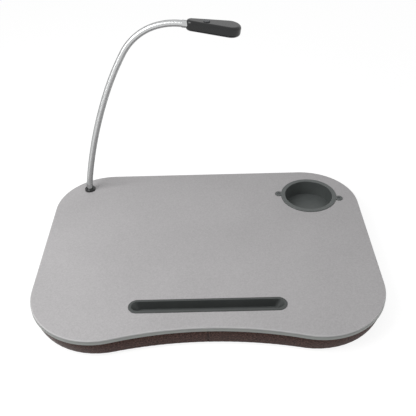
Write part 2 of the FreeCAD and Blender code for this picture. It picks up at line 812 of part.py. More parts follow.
def make_battery_box():
    low, high = battery_box_corners()
    wall = Vector(battery_wall, battery_wall, 0)
    inner_low = low + wall
    inner_high = high - wall
    roof = cushion_height - battery_roof
    cavity = block((inner_low.x, inner_low.y, low.z - cut_overrun), (inner_high.x, inner_high.y, roof))
    box = block(tuple(low), tuple(high)).cut(cavity)

    middle = (low + high) * 0.5
    cell_middle = battery_recess + door_height + soft_gap + cell_radius
    cradle_low = cell_middle + cell_radius + soft_gap
    for side in (-1, 1):
        x = middle.x + side * cradle_rib_spacing / 2
        rib_low = (x - cradle_rib / 2, inner_low.y, cradle_low)
        box = box.fuse(block(rib_low, (x + cradle_rib / 2, inner_high.y, roof)))
    screws = []
    ear_low = cushion_height - box_ear_height
    for place in box_ear_places():
        toward = 1 if place.x < middle.x else -1
        ear = cylinder(box_ear_radius, ear_low, cushion_height, place.x, place.y)
        edge = place.x + toward * box_ear_radius
        bridge_low = (min(place.x, edge), place.y - box_ear_radius, ear_low)
        bridge_high = (max(place.x, edge), place.y + box_ear_radius, cushion_height)
        box = box.fuse([ear, block(bridge_low, bridge_high)])
        box = box.cut(cylinder(screw_shank_radius + soft_gap, ear_low, cushion_height, place.x, place.y))
        part = screw(screw_head_radius, screw_head_height, screw_shank_radius, screw_shank_length)
        part.rotate(Vector(), ahead, 180)
        screws.append(part.translated(Vector(place.x, place.y, ear_low)))
    box = box.cut(cavity.common(block(tuple(low), (high.x, high.y, cradle_low))))

    hinge_y, hinge_z = door_hinge()
    pin_hole_start = Vector(low.x, hinge_y, hinge_z)
    pin_hole = Part.makeCylinder(door_pin_radius + running_gap, high.x - low.x, pin_hole_start, ahead)
    lead_hole_start = Vector(low.x - cut_overrun, lamp_y, lead_run_height)
    lead_hole = Part.makeCylinder(lead_radius + soft_gap, battery_wall + cut_overrun, lead_hole_start, ahead)
    box = box.cut([pin_hole, lead_hole]).removeSplitter()

    door_x0 = inner_low.x + slip_gap
    door_x1 = inner_high.x - slip_gap
    door_y0 = inner_low.y + slip_gap
    door = block((door_x0, door_y0, battery_recess), (door_x1, hinge_y, battery_recess + door_height))
    door_length = door_x1 - door_x0
    barrel_start = Vector(door_x0, hinge_y, hinge_z)
    door = door.fuse(Part.makeCylinder(door_height / 2, door_length, barrel_start, ahead))
    pin_reach = slip_gap + door_pin_length
    pin_start = barrel_start - ahead * pin_reach
    door = door.fuse(Part.makeCylinder(door_pin_radius, door_length + 2 * pin_reach, pin_start, ahead))
    tab_low = (middle.x - door_tab_width / 2, door_y0, battery_recess - door_tab_height)
    tab_high = (middle.x + door_tab_width / 2, door_y0 + door_tab_depth, battery_recess + door_height / 2)
    door = door.fuse(block(tab_low, tab_high)).removeSplitter()

    parts = {
        "battery_box": box,
        "battery_door": door,
        "battery_box_screws": Part.makeCompound(screws),
    }
    parts.update(make_cells(middle, cell_middle))
    return parts


def make_cells(middle, cell_middle):
    """Three cells in series, each between a bowed leaf at its flat end and a plate at its button end."""
    cells = []
    leaves = []
    plates = []
    length = battery_inside()[0]
    half_contact = contact_width / 2
    for row, facing in ((-1, 1), (0, -1), (1, 1)):
        centre = Vector(middle.x, middle.y + row * cell_pitch, cell_middle)
        along = Vector(facing, 0, 0)
        cell_start = centre - along * (cell_length / 2)
        body = Part.makeCylinder(cell_radius, cell_length - cell_nub_height, cell_start, along)
        nub = Part.makeCylinder(cell_nub_radius, cell_length, cell_start, along)
        cells.append(body.fuse(nub).removeSplitter())

        flat_wall = centre - along * (length / 2)
        bow = contact_room - soft_gap
        ends = [flat_wall + up * half_contact, flat_wall - up * half_contact]
        outer = Part.Arc(ends[0], flat_wall + along * bow, ends[1]).toShape()
        inner_rise = up * (half_contact - contact_sheet)
        inner_ends = [flat_wall + inner_rise, flat_wall - inner_rise]
        inner_middle = flat_wall + along * (bow - contact_sheet)
        inner = Part.Arc(inner_ends[0], inner_middle, inner_ends[1]).toShape()
        profile = Part.Wire(
            [
                outer,
                Part.LineSegment(ends[1], inner_ends[1]).toShape(),
                inner,
                Part.LineSegment(inner_ends[0], ends[0]).toShape(),
            ]
        )
        leaf = Part.Face(profile).extrude(sideways * contact_width)
        leaves.append(leaf.translated(-sideways * half_contact))

        button_wall = centre + along * (length / 2)
        spread = sideways * half_contact + up * half_contact
        corners = [button_wall - spread, button_wall + spread - along * contact_sheet]
        low = [min(a, b) for a, b in zip(*corners)]
        high = [max(a, b) for a, b in zip(*corners)]
        boss = Part.makeCylinder(contact_nub_radius, contact_room - soft_gap, button_wall, -along)
        plates.append(block(low, high).fuse(boss).removeSplitter())
    return {
        "battery_cells": Part.makeCompound(cells),
        "contact_leaves": Part.makeCompound(leaves),
        "contact_plates": Part.makeCompound(plates),
    }


def make_lead():
    """Two-core lead that drops from the turning foot, bends once and runs into the battery box."""
    low = battery_box_corners()[0]
    top = Vector(lamp_x, lamp_y, ferrule_foot - soft_gap)
    bend_centre = Vector(lamp_x + lead_bend_radius, lamp_y, top.z)
    diagonal = Vector(-1, 0, -1).normalize() * lead_bend_radius
    run_start = Vector(bend_centre.x, lamp_y, lead_run_height)
    run_end = Vector(low.x + battery_wall, lamp_y, lead_run_height)
    path = Part.Wire(
        [
            Part.Arc(top, bend_centre + diagonal, run_start).toShape(),
            Part.LineSegment(run_start, run_end).toShape(),
        ]
    )
    section = Part.Wire(Part.Circle(top, up, lead_radius).toShape())
    return {"battery_lead": path.makePipeShell([section], True, False)}


def main():
    os.makedirs("parts", exist_ok=True)
    parts = {}
    for make in (
        make_board,
        make_cushion,
        make_pen_tray,
        make_cup_holder,
        make_lamp_base,
        make_neck_foot,
        make_neck,
        make_head,
        make_battery_box,
        make_lead,
    ):
        parts.update(make())
    for name, shape in parts.items():
        solids = shape.Solids
        whole = solids[0] if len(solids) == 1 else Part.makeCompound(solids)
        whole.exportStep(os.path.join("parts", name + ".step"))
        state = "valid" if whole.isValid() else "NOT VALID"
        print(name, len(solids), "solids", round(whole.Volume, 1), "mm3", state)


main()
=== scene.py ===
"""Looks of a lap tray: foil-faced board, fabric cushion, moulded fittings and a ribbed gooseneck lamp.

Metres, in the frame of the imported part: +X to the user's right, +Y away from the user, +Z up.
"""

import json
import math

import bmesh
import bpy
import numpy as np
from mathutils import Matrix, Vector


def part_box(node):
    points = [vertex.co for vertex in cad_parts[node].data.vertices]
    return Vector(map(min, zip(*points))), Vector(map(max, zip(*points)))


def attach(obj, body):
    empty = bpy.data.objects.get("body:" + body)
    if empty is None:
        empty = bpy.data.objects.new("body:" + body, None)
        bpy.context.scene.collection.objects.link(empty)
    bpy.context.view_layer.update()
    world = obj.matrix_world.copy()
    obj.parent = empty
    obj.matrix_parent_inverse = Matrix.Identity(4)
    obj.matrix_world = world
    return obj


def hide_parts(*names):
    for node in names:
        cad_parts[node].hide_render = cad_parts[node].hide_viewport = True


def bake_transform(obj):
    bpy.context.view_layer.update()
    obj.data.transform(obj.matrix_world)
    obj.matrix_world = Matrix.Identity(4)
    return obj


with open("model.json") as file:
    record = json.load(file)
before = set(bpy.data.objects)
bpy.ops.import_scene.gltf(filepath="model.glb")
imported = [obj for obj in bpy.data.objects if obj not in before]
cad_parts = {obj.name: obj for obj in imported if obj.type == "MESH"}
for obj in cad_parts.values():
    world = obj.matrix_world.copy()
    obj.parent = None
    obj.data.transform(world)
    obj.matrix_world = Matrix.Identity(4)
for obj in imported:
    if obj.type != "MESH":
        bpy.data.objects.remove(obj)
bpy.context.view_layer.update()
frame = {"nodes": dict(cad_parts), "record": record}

MM = 0.001

# Camera, as the photograph was taken: sizes in metres, angles in degrees, image in pixels
IMAGE_SIZE = 416
FOCAL_PIXELS = 634.5
SENSOR_MM = 36.0
CAMERA_PITCH = 37.17
CAMERA_YAW = -0.68
CAMERA_ROLL = -1.80
CAMERA_DISTANCE = 1.0613
CAMERA_TARGET = np.array([0.0021, 0.0919, 0.033])

# Light and floor
FLOOR_HALF = 6.0
FLOOR_DROP = 0.2 * MM
FLOOR_GLOW = 1.2
FLOOR_GLOW_SHARE = 0.72
STUDIO_DIM = 0.03
CEILING_LEVEL = 0.8
CARD_LEVEL = 2.2
# Parts of a unit direction at which the ceiling and the front card begin, and at which they are full
CEILING_START, CEILING_FULL = 0.45, 0.9
CARD_SIDE_START, CARD_SIDE_FULL = 0.7, 0.4
CARD_FRONT_START, CARD_FRONT_FULL = 0.0, -0.4
CARD_TOP_START, CARD_TOP_FULL = 0.1, -0.1
LAMP_PLACE = Vector((-0.6, -0.25, 0.76))
LAMP_SIZE = 0.6
LAMP_WATTS = 5.5
FILL_PLACE = Vector((0.85, -0.6, 0.2))
FILL_SIZE = 0.5
FILL_WATTS = 1.3

# Plan of the board
BOARD_LOW, BOARD_HIGH = (np.array(corner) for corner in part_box("board_foil"))
HALF_WIDTH = BOARD_HIGH[0]
HALF_DEPTH = BOARD_HIGH[1]
BOARD_TOP = BOARD_HIGH[2]
CUSHION_TOP = BOARD_LOW[2]
BACK_CORNER = 91.0 * MM
FRONT_CORNER = 98.0 * MM
BELLY_NOTCH = 19.8 * MM
FOOT_CORNER_EASE = 6.2 * MM
FOOT_NOTCH_EASE = 3.6 * MM
ARC_POINTS = 400

# Foil: its mottling, and its tones up the edge as shares of the board's height, which hold painted shade and
# a painted highlight on the round
FOIL_SLOW_SHARE = 0.35
FOIL_CONTRAST = 0.24
FLAT_START, FLAT_FULL = 0.975, 0.995
EDGE_TONES_AND_PAINTED_LIGHT = [(0.0, "#9DA09D"), (0.45, "#9DA09D"), (0.62, "#878986"), (0.78, "#A6A6A6"), (1.0, "#C8C7C7")]

# Cushion cover: (inset from the board's plan, height) of the panel under it and of its side band
BASE_PROFILE = np.array([[60.0, 0.0], [42.0, 0.05], [27.0, 0.3], [14.0, 0.9], [4.4, 2.9]]) * MM
BAND_PROFILE = np.array([[4.4, 2.9], [2.2, 13.5], [2.2, 25.0]]) * MM
BAND_TUCK = np.array([7.0, 25.3]) * MM
COLUMN_STEP = 5.0 * MM
SEAM_COLUMN_STEP = 1.2 * MM
SEAM_COLUMNS = 6
BASE_ROWS = 13
BAND_ROWS = 12
PUFF_PRESSURE = 4.0
PUFF_FRAMES = 12
PUFF_CAP = 2.2 * MM
CLOTH_QUALITY = 6
FOOT_SEAM_HOLD = 0.9
SEAM_HALF_WIDTH = 1.0 * MM
SEAM_DEPTH = 0.9 * MM
FRONT_SEAM_HALF_WIDTH = 1.2 * MM
FRONT_SEAM_DEPTH = 2.2 * MM
PUCKER_LENGTH = 11.0 * MM
PUCKER_DEPTH = 0.08 * MM
PUCKER_REACH = 4.0 * MM
FABRIC_GAP = 0.3 * MM
COVER_TOP_GAP = 0.1 * MM
SHARP_ANGLE = 50.0

# Pockets in the cushion
POCKET_GAP = 3.0 * MM
POCKET_CORNER = 4.0 * MM
POCKET_CORNER_STEPS = 10
POCKET_OVERRUN = 5.0 * MM
PIN_TO_WALL = 0.6 * MM
CUP_WALL_RADIUS = 41.9 * MM
LAMP_POCKET_GAP = 3.0 * MM
LAMP_POCKET_STEPS = 6
BINDING_HALF_WIDTH = 1.8 * MM
BINDING_HALF_HEIGHT = 0.8 * MM
BINDING_SIDES = 12
# Round ends stay a little short of half the width, so that no two points of a plan fall together
SLOT_SLACK = 1e-3
SLOT_STEPS = 24

# Grip ribs on the battery door
DOOR_TAB_HEIGHT = 1.6 * MM
RIB_COUNT = 5
RIB_PITCH = 2.4 * MM
RIB_LENGTH = 13.0 * MM
RIB_WIDTH = 1.1 * MM
RIB_HEIGHT = 0.5 * MM
RIB_CORNER = RIB_WIDTH / 2.01
RIB_CORNER_STEPS = 5

# Gooseneck
FERRULE_RISE = 5.0 * MM
FERRULE_BEND_LENGTH = 9.0 * MM
FERRULE_BEND = 10.0
NECK_JOINTS = 9
NECK_LENGTH = 36.0 * MM
NECK_CREST = 5.0 * MM
NECK_ROOT = 4.7 * MM
NECK_PITCH = 2.0 * MM
NECK_STEPS_PER_PITCH = 10
NECK_SIDES = 32
NECK_STRIP_POWER = 6
LEAST_TURN = 1e-6
NECK_END_GAP = 1e-9
# Bends whose pair of bodies is listed with its upper body first, though nothing reads the pair: rounding
# spoils the turn between the two bodies at one pose when it is worked out from the lower body
HEAD_FIRST_BENDS = (2, 4)

# Repeat of a Wave texture at a scale of 1
WAVE_REPEAT = math.tau / 20
TINY = 1e-12


# Small tools


def linear(hex_colour):
    """Linear colour of an sRGB hex value."""
    share = np.array([int(hex_colour[k : k + 2], 16) for k in (1, 3, 5)]) / 255
    light = np.where(share <= 0.04045, share / 12.92, ((share + 0.055) / 1.055) ** 2.4)
    return (*light.tolist(), 1.0)


def per_metre(size_mm):
    """Scale of a pattern whose repeat has this size."""
    return 1 / (size_mm * MM)


def add(tree, kind, inputs=None, **settings):
    """Adds one shader node with its settings; each input is a plain value or an output to link."""
    node = tree.nodes.new("ShaderNode" + kind)
    for name, value in settings.items():
        setattr(node, name, value)
    for name, value in (inputs or {}).items():
        if isinstance(value, bpy.types.NodeSocket):
            tree.links.new(value, node.inputs[name])
        else:
            node.inputs[name].default_value = value
    return node


def set_ramp(node, stops):
    """Colours of a ramp at rising positions."""
    elements = node.color_ramp.elements
    for position, _ in stops[1:-1]:
        elements.new(position)
    for element, (position, colour) in zip(elements, stops):
        element.position = position
        element.color = linear(colour)


def new_material(name, sockets):
    """A material with its tree and principled shader, whose constant sockets are set here."""
    material = bpy.data.materials.new(name)
    material.use_nodes = True
    tree = material.node_tree
    shader = tree.nodes["Principled BSDF"]
    for socket, value in sockets.items():
        shader.inputs[socket].default_value = value
    return material, tree, shader


def grid_faces(rows, columns):
    """Quads of a grid that is closed along its columns.

    They face outwards when its rows climb and its columns go anticlockwise.
    """
    row, column = np.meshgrid(np.arange(rows - 1), np.arange(columns), indexing="ij")
    after = (column + 1) % columns
    corners = [row * columns + column, row * columns + after]
    corners += [(row + 1) * columns + after, (row + 1) * columns + column]
    return np.stack(corners, axis=-1).reshape(-1, 4)


def mesh_piece(name, points, faces, material, uv=None):
    """Smooth mesh object at the origin; uv holds one pair for each corner of each face, in order."""
    mesh = bpy.data.meshes.new(name)
    mesh.from_pydata(points.reshape(-1, 3).tolist(), [], faces)
    mesh.polygons.foreach_set("use_smooth", np.ones(len(mesh.polygons), dtype=bool))
    if uv is not None:
        layer = mesh.uv_layers.new(name="cloth")
        layer.data.foreach_set("uv", np.ascontiguousarray(uv, dtype=np.float32).ravel())
    mesh.materials.append(material)
    mesh.update()
    piece = bpy.data.objects.new(name, mesh)
    bpy.context.collection.objects.link(piece)
    return piece


def applied(piece):
    """The piece with its modifiers applied to its mesh."""
    depsgraph = bpy.context.evaluated_depsgraph_get()
    mesh = bpy.data.meshes.new_from_object(
        piece.evaluated_get(depsgraph), preserve_all_data_layers=True, depsgraph=depsgraph
    )
    piece.modifiers.clear()
    piece.data = mesh
    return piece


def coordinates(piece):
    """Vertex positions of a piece's mesh as an array."""
    flat = np.empty(len(piece.data.vertices) * 3)
    piece.data.vertices.foreach_get("co", flat)
    return flat.reshape(-1, 3)


# Materials


def embossed_foil():
    """PVC foil pressed on fibreboard: matt light grey, faint mottling, a darker strip round the edge that is
    partly its own tone and partly painted shade, with a painted shade line and a painted highlight on the
    round.
    """
    material, tree, shader = new_material(
        "embossed PVC foil, matt grey", {"Roughness": 0.52, "Specular IOR Level": 0.3}
    )
    place = add(tree, "TexCoord").outputs["Object"]
    # Print mottling of 2 mm, and slow changes of tone across the sheet
    fine = add(tree, "TexNoise", {"Vector": place, "Scale": per_metre(2.0), "Detail": 3.0})
    broad = add(tree, "TexNoise", {"Vector": place, "Scale": per_metre(90.0), "Detail": 1.0})
    slow = {0: broad.outputs["Fac"], 1: FOIL_SLOW_SHARE, 2: fine.outputs["Fac"]}
    tone = add(tree, "Math", slow, operation="MULTIPLY_ADD").outputs[0]
    middle = (1 + FOIL_SLOW_SHARE) / 2
    spread = {"From Min": middle - FOIL_CONTRAST, "From Max": middle + FOIL_CONTRAST}
    share = add(tree, "MapRange", {"Value": tone, **spread})
    top = add(
        tree,
        "MixRGB",
        {"Fac": share.outputs["Result"], "Color1": linear("#AEACAD"), "Color2": linear("#BDBBBC")},
    )
    # Up the edge: a grey strip, darker than the top partly in its own tone and partly as painted shade; a
    # darker line where the foil turns, which is painted shade; and a lighter line on the round, which is a
    # painted highlight
    height = add(tree, "SeparateXYZ", {"Vector": place}).outputs["Z"]
    climb = add(tree, "MapRange", {"Value": height, "From Min": CUSHION_TOP, "From Max": BOARD_TOP})
    edge = add(tree, "ValToRGB", {"Fac": climb.outputs["Result"]})
    set_ramp(edge, EDGE_TONES_AND_PAINTED_LIGHT)
    flat = add(
        tree,
        "MapRange",
        {"Value": climb.outputs["Result"], "From Min": FLAT_START, "From Max": FLAT_FULL},
    )
    colour = add(
        tree,
        "MixRGB",
        {"Fac": flat.outputs["Result"], "Color1": edge.outputs["Color"], "Color2": top.outputs["Color"]},
    )
    tree.links.new(colour.outputs["Color"], shader.inputs["Base Color"])
    # Emboss of 0.5 mm grain, drawn at 1.1 mm so that it shows
    grain = add(tree, "TexNoise", {"Vector": place, "Scale": per_metre(1.1), "Detail": 2.0})
    bump = add(tree, "Bump", {"Height": grain.outputs["Fac"], "Strength": 0.12, "Distance": 0.1 * MM})
    tree.links.new(bump.outputs["Normal"], shader.inputs["Normal"])
    return material


def woven_polyester():
    """Plain-woven melange polyester: matt brown with light and dark yarns, soft sheen at the edges."""
    material, tree, shader = new_material(
        "woven polyester, brown melange",
        {"Roughness": 0.92, "Specular IOR Level": 0.2, "Sheen Weight": 0.25, "Sheen Roughness": 0.5},
    )
    place = add(tree, "UVMap", uv_map="cloth").outputs["UV"]
    # Threads of 0.5 mm, drawn at 1.4 mm so that the weave shows
    thread = per_metre(1.4) * WAVE_REPEAT
    warp = add(tree, "TexWave", {"Vector": place, "Scale": thread}, bands_direction="X")
    weft = add(tree, "TexWave", {"Vector": place, "Scale": thread}, bands_direction="Y")
    weave = add(tree, "Math", {0: warp.outputs["Fac"], 1: weft.outputs["Fac"]}, operation="MULTIPLY")
    # Melange: yarn colour changes every few millimetres, along the thread more than across it
    stretched = add(tree, "Mapping", {"Vector": place, "Scale": (1.0, 1.6, 1.0)})
    yarn = add(
        tree,
        "TexNoise",
        {"Vector": stretched.outputs[0], "Scale": per_metre(2.6), "Detail": 4.0, "Roughness": 0.7},
    )
    melange = add(tree, "ValToRGB", {"Fac": yarn.outputs["Fac"]})
    set_ramp(melange, [(0.40, "#281812"), (0.62, "#6E5049")])
    shaded = add(
        tree,
        "MixRGB",
        {"Fac": 0.35, "Color1": melange.outputs["Color"], "Color2": weave.outputs[0]},
        blend_type="MULTIPLY",
    )
    tree.links.new(shaded.outputs["Color"], shader.inputs["Base Color"])
    bump = add(tree, "Bump", {"Height": weave.outputs[0], "Strength": 0.5, "Distance": 0.3 * MM})
    tree.links.new(bump.outputs["Normal"], shader.inputs["Normal"])
    return material


def moulded_plastic(name, dark, light, roughness, grain_mm):
    """Injection-moulded plastic: satin, with a fine spark-eroded grain and faint flow marks."""
    material, tree, shader = new_material(name, {"Specular IOR Level": 0.45, "IOR": 1.5})
    place = add(tree, "TexCoord").outputs["Object"]
    flow = add(tree, "TexNoise", {"Vector": place, "Scale": per_metre(22.0), "Detail": 3.0})
    tone = add(
        tree, "MixRGB", {"Fac": flow.outputs["Fac"], "Color1": linear(dark), "Color2": linear(light)}
    )
    tree.links.new(tone.outputs["Color"], shader.inputs["Base Color"])
    gloss = add(
        tree,
        "MapRange",
        {"Value": flow.outputs["Fac"], "To Min": roughness - 0.06, "To Max": roughness + 0.06},
    )
    tree.links.new(gloss.outputs["Result"], shader.inputs["Roughness"])
    grain = add(tree, "TexNoise", {"Vector": place, "Scale": per_metre(grain_mm), "Detail": 2.0})
    bump = add(tree, "Bump", {"Height": grain.outputs["Fac"], "Strength": 0.2, "Distance": 0.05 * MM})
    tree.links.new(bump.outputs["Normal"], shader.inputs["Normal"])
    return material


def plated_metal(name, colour, roughness, smear, painted_flank_shade="#FFFFFF"):
    """Plated metal: mirror-like, with polishing smears that change its gloss from place to place.

    A dark flank colour is painted shade: it takes the shine from flanks seen at a grazing angle, in place of
    the dark surroundings that they would mirror.
    """
    material, tree, shader = new_material(
        name, {"Metallic": 1.0, "Base Color": linear(colour), "Specular Tint": linear(painted_flank_shade)}
    )
    place = add(tree, "TexCoord").outputs["Object"]
    cloud = add(tree, "TexNoise", {"Vector": place, "Scale": per_metre(7.0), "Detail": 4.0})
    gloss = add(
        tree, "MapRange", {"Value": cloud.outputs["Fac"], "To Min": roughness, "To Max": roughness + smear}
    )
    tree.links.new(gloss.outputs["Result"], shader.inputs["Roughness"])
    return material


def prism_acrylic():
    """Clear moulded acrylic with rows of small prisms that spread the light."""
    material, tree, shader = new_material(
        "moulded acrylic, prismatic", {"Transmission Weight": 0.92, "IOR": 1.49, "Roughness": 0.12}
    )
    place = add(tree, "TexCoord").outputs["Object"]
    tint = add(tree, "TexNoise", {"Vector": place, "Scale": per_metre(12.0)})
    colour = add(
        tree, "MixRGB", {"Fac": tint.outputs["Fac"], "Color1": linear("#E9EEF0"), "Color2": linear("#F7F8F8")}
    )
    tree.links.new(colour.outputs["Color"], shader.inputs["Base Color"])
    # Prisms of 1.5 mm
    cells = add(tree, "TexVoronoi", {"Vector": place, "Scale": per_metre(1.5), "Randomness": 0.0})
    bump = add(tree, "Bump", {"Height": cells.outputs["Distance"], "Strength": 0.4, "Distance": 0.3 * MM})
    tree.links.new(bump.outputs["Normal"], shader.inputs["Normal"])
    return material


def fibreboard():
    """Pressed wood fibre: matt, fine tan specks."""
    material, tree, shader = new_material("medium-density fibreboard", {"Roughness": 0.85})
    place = add(tree, "TexCoord").outputs["Object"]
    fibre = add(tree, "TexNoise", {"Vector": place, "Scale": per_metre(1.2), "Detail": 6.0, "Roughness": 0.8})
    tone = add(
        tree,
        "MixRGB",
        {"Fac": fibre.outputs["Fac"], "Color1": linear("#7C6248"), "Color2": linear("#B3946F")},
    )
    tree.links.new(tone.outputs["Color"], shader.inputs["Base Color"])
    return material


# Camera, floor and light


def make_camera():
    """Camera at the photograph's angle, from its pitch, yaw, roll and distance to a point on the board."""
    pitch, yaw, roll = (math.radians(angle) for angle in (CAMERA_PITCH, CAMERA_YAW, CAMERA_ROLL))
    forward = np.array([math.sin(yaw) * math.cos(pitch), math.cos(yaw) * math.cos(pitch), -math.sin(pitch)])
    right = np.array([math.cos(yaw), -math.sin(yaw), 0.0])
    up = np.cross(right, forward)
    rolled_right = math.cos(roll) * right + math.sin(roll) * up
    rolled_up = math.cos(roll) * up - math.sin(roll) * right
    data = bpy.data.cameras.new("camera")
    data.sensor_width = SENSOR_MM
    data.lens = FOCAL_PIXELS / IMAGE_SIZE * SENSOR_MM
    camera = bpy.data.objects.new("camera", data)
    turn = np.column_stack([rolled_right, rolled_up, -forward])
    place = Matrix.Translation(CAMERA_TARGET - forward * CAMERA_DISTANCE)
    camera.matrix_world = place @ Matrix(turn).to_4x4()
    bpy.context.collection.objects.link(camera)
    bpy.context.scene.camera = camera


def seen_directly(tree):
    """1 for rays from the camera and for those that shiny or clear pieces send on, and 0 for all others."""
    path = add(tree, "LightPath").outputs
    sent_on = {0: path["Is Glossy Ray"], 1: path["Is Transmission Ray"]}
    sent_on = add(tree, "Math", sent_on, operation="MAXIMUM").outputs[0]
    return add(tree, "Math", {0: path["Is Camera Ray"], 1: sent_on}, operation="MAXIMUM").outputs[0]


def make_floor():
    """White floor that keeps a soft shadow, looks white in metal too, and is open from below."""
    material = bpy.data.materials.new("white floor")
    material.use_nodes = True
    tree = material.node_tree
    tree.nodes.remove(tree.nodes["Principled BSDF"])
    diffuse = add(tree, "BsdfDiffuse", {"Color": linear("#F4F4F4")})
    glow = add(tree, "Emission", {"Color": linear("#FFFFFF"), "Strength": FLOOR_GLOW})
    share = add(tree, "Math", {0: seen_directly(tree), 1: FLOOR_GLOW_SHARE}, operation="MULTIPLY")
    lit = add(tree, "MixShader", {0: share.outputs[0], 1: diffuse.outputs[0], 2: glow.outputs[0]})
    behind = add(tree, "NewGeometry").outputs["Backfacing"]
    clear = add(tree, "BsdfTransparent")
    one_sided = add(tree, "MixShader", {0: behind, 1: lit.outputs[0], 2: clear.outputs[0]})
    tree.links.new(one_sided.outputs[0], tree.nodes["Material Output"].inputs["Surface"])
    corners = np.array([[-1, -1, 0], [1, -1, 0], [1, 1, 0], [-1, 1, 0]])
    places = FLOOR_HALF * corners - [0.0, 0.0, FLOOR_DROP]
    floor = mesh_piece("floor", places, [(0, 1, 2, 3)], material)


def make_light():
    """A dim studio with a bright ceiling and a bright card in front, a lamp at the front left and a low fill.

    The card's brightness falls off to both sides. Ceiling and card light the object, and the camera sees
    plain white behind it, directly and in shiny or clear pieces.
    """
    world = bpy.data.worlds.new("studio")
    world.use_nodes = True
    bpy.context.scene.world = world
    tree = world.node_tree
    direction = add(tree, "SeparateXYZ", {"Vector": add(tree, "TexCoord").outputs["Generated"]}).outputs
    ceiling = add(
        tree,
        "MapRange",
        {
            "Value": direction["Z"],
            "From Min": CEILING_START,
            "From Max": CEILING_FULL,
            "To Max": CEILING_LEVEL,
        },
    )
    aside = add(tree, "Math", {0: direction["X"]}, operation="ABSOLUTE")
    middle = add(
        tree,
        "MapRange",
        {"Value": aside.outputs[0], "From Min": CARD_SIDE_START, "From Max": CARD_SIDE_FULL},
    )
    ahead = add(
        tree,
        "MapRange",
        {
            "Value": direction["Y"],
            "From Min": CARD_FRONT_START,
            "From Max": CARD_FRONT_FULL,
            "To Max": CARD_LEVEL,
        },
    )
    below = add(
        tree,
        "MapRange",
        {"Value": direction["Z"], "From Min": CARD_TOP_START, "From Max": CARD_TOP_FULL},
    )
    front = add(tree, "Math", {0: middle.outputs[0], 1: ahead.outputs[0]}, operation="MULTIPLY")
    card = add(tree, "Math", {0: front.outputs[0], 1: below.outputs[0]}, operation="MULTIPLY")
    bright = add(tree, "Math", {0: ceiling.outputs[0], 1: card.outputs[0]}, operation="MAXIMUM")
    level = add(tree, "Math", {0: bright.outputs[0], 1: STUDIO_DIM}, operation="MAXIMUM")
    studio = tree.nodes["Background"]
    studio.inputs["Color"].default_value = linear("#FFFFFF")
    tree.links.new(level.outputs[0], studio.inputs["Strength"])
    white = add(tree, "Background", {"Color": linear("#FFFFFF"), "Strength": 1.0})
    mixed = add(tree, "MixShader", {0: seen_directly(tree), 1: studio.outputs[0], 2: white.outputs[0]})
    tree.links.new(mixed.outputs[0], tree.nodes["World Output"].inputs["Surface"])

    make_lamp("softbox", LAMP_PLACE, LAMP_SIZE, LAMP_WATTS)
    fill = make_lamp("fill", FILL_PLACE, FILL_SIZE, FILL_WATTS)
    fill.visible_glossy = False


def make_lamp(name, place, size, watts):
    """A square lamp that faces the middle of the object."""
    data = bpy.data.lights.new(name, "AREA")
    data.size = size
    data.energy = watts
    lamp = bpy.data.objects.new(name, data)
    aim = (-place).to_track_quat("-Z", "Y").to_matrix().to_4x4()
    lamp.matrix_world = Matrix.Translation(place) @ aim
    bpy.context.collection.objects.link(lamp)
    return lamp


# Cushion


def outline_table(eased):
    """Points and outward normals of the board's plan, anticlockwise from the front middle.

    The plan is arcs joined by straight runs: half of the belly notch, the right front lobe, two back
    corners, the left front lobe and the other half of the notch. Each arc is its centre plus its radius
    times the cosine and sine of an angle that changes evenly. At the cushion's foot, where eased is 1, the
    front corners are rounder and the notch is shallower.
    """
    corner = FRONT_CORNER + eased * FOOT_CORNER_EASE
    depth = BELLY_NOTCH - eased * FOOT_NOTCH_EASE
    lobe_x = HALF_WIDTH - corner
    lobe_y = corner - HALF_DEPTH
    back_x = HALF_WIDTH - BACK_CORNER
    back_y = HALF_DEPTH - BACK_CORNER
    notch = (lobe_x**2 + depth**2) / (2 * depth) - corner
    notch_y = depth - HALF_DEPTH - notch
    lean = math.atan2(lobe_y - notch_y, lobe_x)
    quarter = math.pi / 2
    arcs = [
        (0, notch_y, notch, quarter, lean, -1),
        (lobe_x, lobe_y, corner, lean - math.pi, 0, 1),
        (back_x, back_y, BACK_CORNER, 0, quarter, 1),
        (-back_x, back_y, BACK_CORNER, quarter, math.pi, 1),
        (-lobe_x, lobe_y, corner, math.pi, 2 * math.pi - lean, 1),
        (0, notch_y, notch, math.pi - lean, quarter, -1),
    ]
    points = []
    outward = []
    for x, y, radius, start, end, side in arcs:
        angle = np.linspace(start, end, ARC_POINTS)
        spoke = np.stack([np.cos(angle), np.sin(angle)], axis=-1)
        points.append(np.array([x, y]) + radius * spoke)
        outward.append(side * spoke)
    return np.concatenate(points), np.concatenate(outward)


def run_length(points):
    """Distance of each point from the first one along a line of points."""
    return np.concatenate([[0.0], np.cumsum(np.linalg.norm(np.diff(points, axis=0), axis=1))])


OUTLINE, OUTWARD = outline_table(0.0)
FOOT_OUTLINE, FOOT_OUTWARD = outline_table(1.0)
ALONG = run_length(OUTLINE)


def on_outline(distance, inset, eased):
    """Points of the board's plan, eased and moved inwards, at distances along it from the front middle."""
    plan = (1 - eased) * OUTLINE + eased * FOOT_OUTLINE
    normal = (1 - eased) * OUTWARD + eased * FOOT_OUTWARD
    moved = plan - normal * inset
    return np.stack([np.interp(distance, ALONG, moved[:, k]) for k in (0, 1)], axis=-1)


def smooth_profile(knots, count):
    """Evenly spaced points on the smooth curve of least degree through a few (inset, height) knots."""
    reach = run_length(knots)
    fine = np.linspace(0, reach[-1], count)
    curves = [np.polyfit(reach, knots[:, k], len(knots) - 1) for k in (0, 1)]
    return np.stack([np.polyval(curve, fine) for curve in curves], axis=-1)


def cover_columns():
    """Distances of the cover's columns along the plan, closer together at the sewn seam in front."""
    near = np.arange(SEAM_COLUMNS) * SEAM_COLUMN_STEP
    span = ALONG[-1] - 2 * near[-1]
    count = round(span / COLUMN_STEP)
    middle = near[-1] + np.arange(1, count) * span / count
    return np.concatenate([near, middle, ALONG[-1] - near[:0:-1]])


